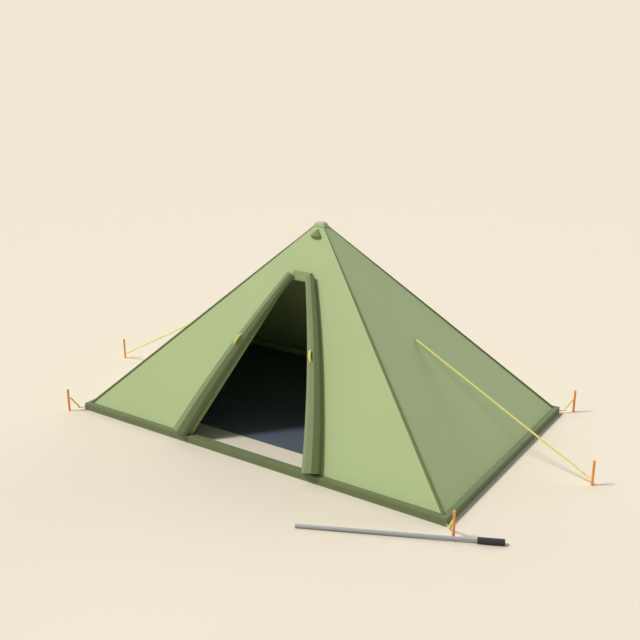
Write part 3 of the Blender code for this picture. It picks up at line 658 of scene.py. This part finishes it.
# %% Hem bands
HEM_FOLD = 0.0012
INWARD = 0.9                            # how squarely a face of the lighter cloth looks inward
for side in ("front", "back", "left", "right"):
    bm = from_node("hem_" + side)
    soften(bm, HEM_FOLD, 2)
    band = piece("hem_band_" + side, bm, hem_cloth, ["hem_" + side])
    band.data.materials.append(panel_cloth)
    middle = sum((Vector(v.co) for v in band.data.vertices), Vector()) / len(band.data.vertices)
    inward = Vector((-middle.x, -middle.y, 0)).normalized()
    for face in band.data.polygons:
        if face.normal.dot(inward) > INWARD:
            face.material_index = 1

# %% [markdown]
# ## Ridge tapes
# A tape is folded over the seam between two panels and sewn down. It gets narrower towards
# the apex, where four of them meet. A new strip could be bent along each ridge, but the CAD
# solid already fits both panels. It is only cut into short lengths, so that its points can
# be drawn in towards the ridge, the more the higher they are.

# %% Ridge tapes
TAPER_FROM, TAPER_BY = 0.70, 0.5        # height where it starts, and share lost at the top
TAPE_CUTS = (0.75, 0.85, 0.95, 1.05, 1.15)
for corner, (sx, sy) in CORNERS.items():
    bm = from_node("ridge_binding_" + corner)
    for z in TAPE_CUTS:
        cut(bm, (0, 0, z), (0, 0, 1))
    for v in bm.verts:
        far_up = min(1.0, max(0.0, (v.co.z - TAPER_FROM) / (PANEL_TOP - TAPER_FROM)))
        share = (APEX - v.co.z) / RISE
        ridge = Vector((sx * HALF_W * share, sy * HALF_D * share, v.co.z))
        v.co = ridge + (v.co - ridge) * (1 - TAPER_BY * far_up)
    piece("ridge_tape_" + corner, bm, tape_cloth, ["ridge_binding_" + corner])

# %% [markdown]
# ## Rolled door halves
# Each half of the door is rolled up along its edge and tied back. The roll is folded
# rather than round, so it has eight flat sides, and it gets thinner towards the top. A
# rolled spiral of cloth would show the same outside. So rings of eight points follow its
# middle line, are joined by faces, and the folds are softened. The panel behind the roll
# and the hem below it then cut it flat, as they do on the real thing.

# %% Middle line and thickness of a roll
ROLL_TOP = 0.955
ROLL_FOOT, ROLL_HEAD, ROLL_BOW = 0.4743, 0.067, 0.025   # from the middle, below and above
ROLL_THICK, ROLL_THIN = 0.0525, 0.0275                  # radius below and above
ROLL_LIFT, ROLL_SINK = 0.0275, 0.001                    # off the panel below, less above


def roll_middle(sign, z):
    """The middle of the left or right roll at a height."""
    share = (z - HEM) / (ROLL_TOP - HEM)
    half = ROLL_FOOT + (ROLL_HEAD - ROLL_FOOT) * share + 4 * ROLL_BOW * share * (1 - share)
    return on_front(sign * half, z, ROLL_LIFT - ROLL_SINK * share)


def roll_axes(sign, z):
    """Directions along a roll, level across it and out of the panel."""
    along = (roll_middle(sign, z + 0.005) - roll_middle(sign, z - 0.005)).normalized()
    level = along.cross(FRONT_OUT).normalized()
    if level.x < 0:
        level = -level
    out = level.cross(along).normalized()
    if out.dot(FRONT_OUT) < 0:
        out = -out
    return along, level, out


def roll_radius(z):
    """The radius of a roll at a height."""
    return ROLL_THICK + (ROLL_THIN - ROLL_THICK) * (z - HEM) / (ROLL_TOP - HEM)


print("roll radius at half height", round(roll_radius(ROLL_TOP / 2), 4))

# %% Helpers for a skin over rings of points


def ring_edges(bm, *rings):
    """The edges that run round any of these rings."""
    return [e for e in bm.edges if any(all(v in ring for v in e.verts) for ring in rings)]


def skin(bm, rings, ends):
    """Faces from each ring to the next and over some end rings; gives the edges between rings."""
    for a, b in zip(rings, rings[1:]):
        bmesh.ops.bridge_loops(bm, edges=ring_edges(bm, a, b))
    for ring in ends:
        bmesh.ops.contextual_create(bm, geom=ring_edges(bm, ring))
    where = {v: i for i, ring in enumerate(rings) for v in ring}
    return [e for e in bm.edges if where[e.verts[0]] != where[e.verts[1]]]


# %% Door rolls
RINGS, SIDES = 26, 8
ROLL_START = 0.036                      # a little below the hem's top, which then cuts it
ROLL_TURN = 15                          # degrees, of the flat sides round the middle line
WRINKLE, ROLL_FOLD = 0.0007, 0.002      # unevenness, and rounding of the folds


def rolled_half(name, sign, node):
    """One rolled door half."""
    bm = bmesh.new()
    rings = []
    for i in range(RINGS):
        z = ROLL_START + (ROLL_TOP - ROLL_START) * i / (RINGS - 1)
        along, level, out = roll_axes(sign, z)
        middle = roll_middle(sign, z)
        ring = bmesh.ops.create_circle(bm, cap_ends=False, segments=SIDES,
                                       radius=roll_radius(z))["verts"]
        turn = math.radians(ROLL_TURN if sign > 0 else 180 - ROLL_TURN)
        basis = Matrix((level, out, along)).transposed().to_4x4()
        place = Matrix.Translation(middle) @ basis @ Matrix.Rotation(turn, 4, 'Z')
        bmesh.ops.transform(bm, matrix=place, verts=ring)
        for k, v in enumerate(ring):
            spot = Vector((k * 1.7, z * 9.0, sign * 3.0))
            v.co += (v.co - middle).normalized() * WRINKLE * noise.noise(spot)
        rings.append(ring)
    folds = skin(bm, rings, (rings[0], rings[-1]))
    bmesh.ops.recalc_face_normals(bm, faces=bm.faces)
    round_off(bm, folds, ROLL_FOLD, 2)
    bmesh.ops.triangulate(bm, faces=[f for f in bm.faces if len(f.verts) == 4])
    trim(bm, on_front(0, HEM, GAP), FRONT_OUT)
    trim(bm, Vector((0, 0, HEM + GAP)), Vector((0, 0, 1)))
    piece(name, bm, rolled_cloth, [node], smooth=30)


rolled_half("rolled_door_left", -1, "door_roll_left")
rolled_half("rolled_door_right", 1, "door_roll_right")

# %% [markdown]
# ## Header over the door
# Between the two rolls the cloth is folded into a short, flat roll over the opening. It is
# so short and straight that rings along it would add nothing that shows. Its CAD solid is
# kept, and its edges are rounded more than the hem's, as loose folds are.

# %% Header over the door
HEADER_FOLD = 0.0025
bm = from_node("door_header")
soften(bm, HEADER_FOLD, 3)
piece("rolled_header", bm, header_cloth_painted_lighter, ["door_header"])

# %% [markdown]
# ## Tie loops
# A short loop of yellow cord holds each roll. Only its outer half shows, standing a little
# out of the roll, and its ends go in between the folds. Half an ellipse is enough for it,
# because what lies inside the roll is never seen.

# %% Tie loops
TIE_HEIGHT, TIE_CORD = 0.565, 0.0145
TIE_HALF, TIE_BULGE, TIE_SUNK = 0.035, 0.021, 0.008     # half length, height, start below the face
TIE_SIDEWAYS = {"left": 0.005, "right": 0.0}            # how far it lies over to the right
TIE_POINTS, TIE_FROM, TIE_SWEEP = 19, 8, 164            # how many, and their angles in degrees
for side, sign in (("left", -1), ("right", 1)):
    along, level, out = roll_axes(sign, TIE_HEIGHT)
    face = roll_radius(TIE_HEIGHT) * math.cos(math.pi / SIDES)
    centre = roll_middle(sign, TIE_HEIGHT) + out * (face - TIE_SUNK)
    bulge = out * TIE_BULGE + level * TIE_SIDEWAYS[side]
    turns = [TIE_FROM + TIE_SWEEP * i / (TIE_POINTS - 1) for i in range(TIE_POINTS)]
    angles = [math.radians(turn) for turn in turns]
    points = [centre + along * TIE_HALF * math.cos(a) + bulge * math.sin(a) for a in angles]
    cord_piece("tie_loop_" + side, points, TIE_CORD, ["door_tie_" + side], tie_braid)

# %% [markdown]
# ## Vent hood
# The vent is a triangular hole under a small hood. The hood is a curved piece of stiffened
# cloth, held to the panel along two sides, and it bows out over its lower edge. Bending a
# grid by sine and cosine gives that bow with an even edge, where a cut cone would not lie
# flat on the panel.

# %% Vent hood
VENT_TOP = 1.218                        # height of the hood's tip
VENT_HEIGHT, VENT_HALF = 0.040, 0.042   # from tip to lower edge, and half the width there
VENT_RISE, LIP = 0.022, 0.010           # off the panel, and how far the lower edge bows down
VENT_TIP = 0.06                         # share of the width that is left at the top
HOOD_SEAT, HOOD_CLOTH = 0.0016, 0.0014  # its edges off the panel, and its thickness
PROBE = 100                             # number of a face well away from the narrow tip
bm = bmesh.new()
bmesh.ops.create_grid(bm, x_segments=20, y_segments=14, size=1)
for v in bm.verts:
    turn = v.co.x * math.pi / 2
    share = VENT_TIP + (1 - VENT_TIP) * (0.5 - v.co.y / 2)
    bow = math.cos(turn)
    z = VENT_TOP - VENT_HEIGHT * share - LIP * share * bow
    v.co = on_front(VENT_HALF * share * math.sin(turn), z,
                    HOOD_SEAT + (VENT_RISE - HOOD_CLOTH) * share * bow)
face_out(bm, FRONT_OUT, PROBE)
hood = piece("vent_cover", bm, hood_cloth, ["vent_hood"], smooth=60, closed=False)
thicken(hood, HOOD_CLOTH)

# %% [markdown]
# ## Vent netting
# Netting closes the hole under the hood against insects. It could be a sheet with holes
# that let the eye through, but it is a few centimetres wide and always in the hood's
# shade. So the thin CAD solid is kept, and its material draws the holes.

# %% Vent netting
piece("vent_netting", from_node("vent_mesh"), netting, ["vent_mesh"])

# %% [markdown]
# ## Apex cover
# A small cap of the panel's cloth covers the place where the four ridges meet. It is drawn
# over the pole's cup, so its top is rounded and its foot lies on the panels. Squares of
# points, each smaller and higher than the last, are joined by faces, and their corners are
# rounded. That follows the picture more closely than a bevel on the plain solid.

# %% Apex cover
# Half width, half depth and height of each square.
COVER = ((0.0408, 0.0256, 1.2292), (0.0407, 0.0256, 1.2310), (0.0386, 0.0243, 1.2365),
         (0.0361, 0.0227, 1.2420), (0.0334, 0.0207, 1.2475), (0.0300, 0.0179, 1.2528),
         (0.0258, 0.0145, 1.2558), (0.0202, 0.0104, 1.2572), (0.0113, 0.0049, 1.2576))
COVER_FOLD = 0.005
bm = bmesh.new()
rings = []
for half_w, half_d, z in COVER:
    ring = bmesh.ops.create_circle(bm, cap_ends=False, segments=4, radius=math.sqrt(2))["verts"]
    size = Matrix.Diagonal((half_w, half_d, 1.0, 1.0))
    place = Matrix.Translation((0, 0, z)) @ size @ Matrix.Rotation(math.pi / 4, 4, 'Z')
    bmesh.ops.transform(bm, matrix=place, verts=ring)
    rings.append(ring)
round_off(bm, skin(bm, rings, (rings[-1],)), COVER_FOLD, 3)
bmesh.ops.recalc_face_normals(bm, faces=bm.faces)
cover = piece("apex_cover", bm, panel_cloth, ["apex_cap"], smooth=80, closed=False)
thicken(cover, PANEL_CLOTH)

# %% [markdown]
# ## Guy patches
# A patch of panel cloth is sewn on where a guy line pulls, so that the pull is spread. A
# patch could be drawn in the panel's material, but then it would have no edge for light to
# catch. The flat CAD solid with slightly softened edges has one.

# %% Guy patches
PATCH_FOLD = 0.0004
for side in ("left", "right", "back"):
    bm = from_node("guy_patch_" + side)
    soften(bm, PATCH_FOLD, 1)
    piece("guy_point_" + side, bm, panel_cloth, ["guy_patch_" + side])

# %% [markdown]
# ## Corner straps
# A strap of webbing at each corner of the hem holds the corner cord. The CAD solid is 16 mm
# wide, as strong webbing is, but the picture shows hardly anything there. So the solid is
# kept and drawn in to 8 mm about its own middle, where a new strip would need its place
# worked out again.

# %% Corner straps
STRAP, STRAP_FOLD = 0.008, 0.0007       # width, and rounding of its edges
for corner, (sx, sy) in CORNERS.items():
    bm = from_node("corner_tab_" + corner)
    sideways = Vector((-sy, sx, 0)).normalized()
    places = [v.co.dot(sideways) for v in bm.verts]
    spread = max(places) - min(places)
    middle = sum(places) / len(places)
    for v in bm.verts:
        v.co -= sideways * (v.co.dot(sideways) - middle) * (1 - STRAP / spread)
    soften(bm, STRAP_FOLD, 2)
    print("strap narrowed from", round(spread, 4))
    piece("corner_strap_" + corner, bm, webbing, ["corner_tab_" + corner])

# %% [markdown]
# ## Groundsheet
# A separate sheet lies loose on the ground inside. It starts from a grid, is given low
# ripples that die out at its edges, and gets its thickness last. A simulated sheet would
# come to rest much the same, because it lies on flat ground with nothing on it.

# %% Groundsheet
SHEET_CLOTH, RIPPLE = 0.0012, 0.0016    # thickness, and height of the ripples
FADE = 12                               # ripples are full from 1/12 m inside the edge
low, high = (Vector(c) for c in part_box("groundsheet"))
high.y = HALF_D - HEM_TUCK - 0.001      # 1 mm before the back hem's inner face
size = high - low
bm = bmesh.new()
bmesh.ops.create_grid(bm, x_segments=80, y_segments=44, size=1)
for v in bm.verts:
    x, y = low.x + size.x * (v.co.x + 1) / 2, low.y + size.y * (v.co.y + 1) / 2
    edge = min(1.0, FADE * min(x - low.x, high.x - x, y - low.y, high.y - y))
    lift = 0.5 + 0.5 * noise.noise(Vector((x * 2.6, y * 4.1, 0.3)))
    v.co = Vector((x, y, SHEET_CLOTH + RIPPLE * edge * lift))
flat_map(bm)
ground = piece("floor_sheet", bm, sheet_cloth, ["groundsheet"], closed=False)
thicken(ground, SHEET_CLOTH)

# %% [markdown]
# ## Studio floor
# The picture has a warm, pale floor that runs into a background of the same colour. A
# curved backdrop would do that in a real studio. Here the floor is flat and very large, and
# far away it turns into a glow of the background's colour, but only for rays that are seen,
# so it never lights the shelter.

# %% Floor
BACKDROP = linear("#f2e8d5")
FADE_START, FADE_END = 3.0, 9.0         # distances from the middle
FLOOR_HALF, FLOOR_DROP = 40, 0.0002     # the drop keeps it clear of the undersides


def seeing_rays(owner):
    """1 for rays that see a surface, straight or in a reflection, 0 for those that light it."""
    rays = add_node(owner, "ShaderNodeLightPath").outputs
    seen = maths(owner, 'MAXIMUM', rays["Is Camera Ray"], rays["Is Glossy Ray"])
    return maths(owner, 'MAXIMUM', seen, rays["Is Transmission Ray"])


bm = bmesh.new()
bmesh.ops.create_grid(bm, x_segments=1, y_segments=1, size=FLOOR_HALF)
bmesh.ops.translate(bm, vec=(0, 0, -FLOOR_DROP), verts=bm.verts)
mesh = bpy.data.meshes.new("studio_floor")
bm.to_mesh(mesh)
bm.free()
floor = bpy.data.objects.new("studio_floor", mesh)
bpy.context.scene.collection.objects.link(floor)
# Warm and pale, with no shine at all.
floor_paint, shader = start_material("matt studio floor", 0.95, Specular_IOR_Level=0.0)
shader.inputs["Base Color"].default_value = linear("#f4e8d3")
place = add_node(floor_paint, "ShaderNodeTexCoord")
reach = add_node(floor_paint, "ShaderNodeVectorMath", {0: place.outputs["Object"]}, operation='LENGTH')
far = add_node(floor_paint, "ShaderNodeMapRange",
               {"Value": reach.outputs["Value"], "From Min": FADE_START, "From Max": FADE_END},
               interpolation_type='SMOOTHSTEP')
share = maths(floor_paint, 'MULTIPLY', far.outputs[0], seeing_rays(floor_paint))
glow = add_node(floor_paint, "ShaderNodeEmission", {"Color": BACKDROP, "Strength": 1.0})
blend = add_node(floor_paint, "ShaderNodeMixShader", {0: share, 1: shader.outputs[0],
                                                      2: glow.outputs[0]})
end = floor_paint.node_tree.nodes["Material Output"]
floor_paint.node_tree.links.new(blend.outputs[0], end.inputs["Surface"])
mesh.materials.append(floor_paint)
print("floor", mesh.name)

# %% [markdown]
# ## Light
# The shadows in the picture have one clear edge, so one light stands high at the front
# left. A wide one beside it and two weaker ones behind fill the rest, and a cool sky fills
# the shade. Suns are used instead of lamps with a place, because the floor is equally
# bright from left to right. Each sun's share of the light on the open floor is given, and
# its strength follows from its height. With the sky the shares make about 1.

# %% Sky and background
world = bpy.data.worlds.new("studio")
bpy.context.scene.world = world
world.use_nodes = True
world.node_tree.nodes.clear()
sky = add_node(world, "ShaderNodeBackground", {"Color": (0.87, 1.0, 1.10, 1), "Strength": 0.16})
backdrop = add_node(world, "ShaderNodeBackground", {"Color": BACKDROP, "Strength": 1.0})
both = add_node(world, "ShaderNodeMixShader", {0: seeing_rays(world), 1: sky.outputs[0],
                                               2: backdrop.outputs[0]})
add_node(world, "ShaderNodeOutputWorld", {"Surface": both.outputs[0]})
print("sky in", world.name)

# %% Suns
# Name, direction and height it comes from and its width in degrees, share and tint.
LIGHTS = (("key_light", 219, 51, 9, 0.475, (1.018, 1.0, 0.98)),
          ("wide_front_light", 208, 47, 45, 0.115, (1.0, 1.0, 1.0)),
          ("back_light", 72, 24, 30, 0.08, (0.99, 1.0, 1.01)),
          ("back_left_light", 140, 34, 50, 0.175, (0.99, 1.0, 1.01)))
for name, way, height, spread, share, tint in LIGHTS:
    lamp = bpy.data.lights.new(name, 'SUN')
    lamp.energy = share * math.pi / math.sin(math.radians(height))
    lamp.angle = math.radians(spread)
    lamp.color = tint
    lamp_object = bpy.data.objects.new(name, lamp)
    bpy.context.scene.collection.objects.link(lamp_object)
    source = Euler((0, -math.radians(height), math.radians(way))).to_matrix() @ Vector((1, 0, 0))
    lamp_object.rotation_euler = (-source).to_track_quat('-Z', 'Y').to_euler()
    print(name, "comes from", tuple(round(v, 3) for v in source))
bpy.context.scene.view_settings.view_transform = 'Standard'
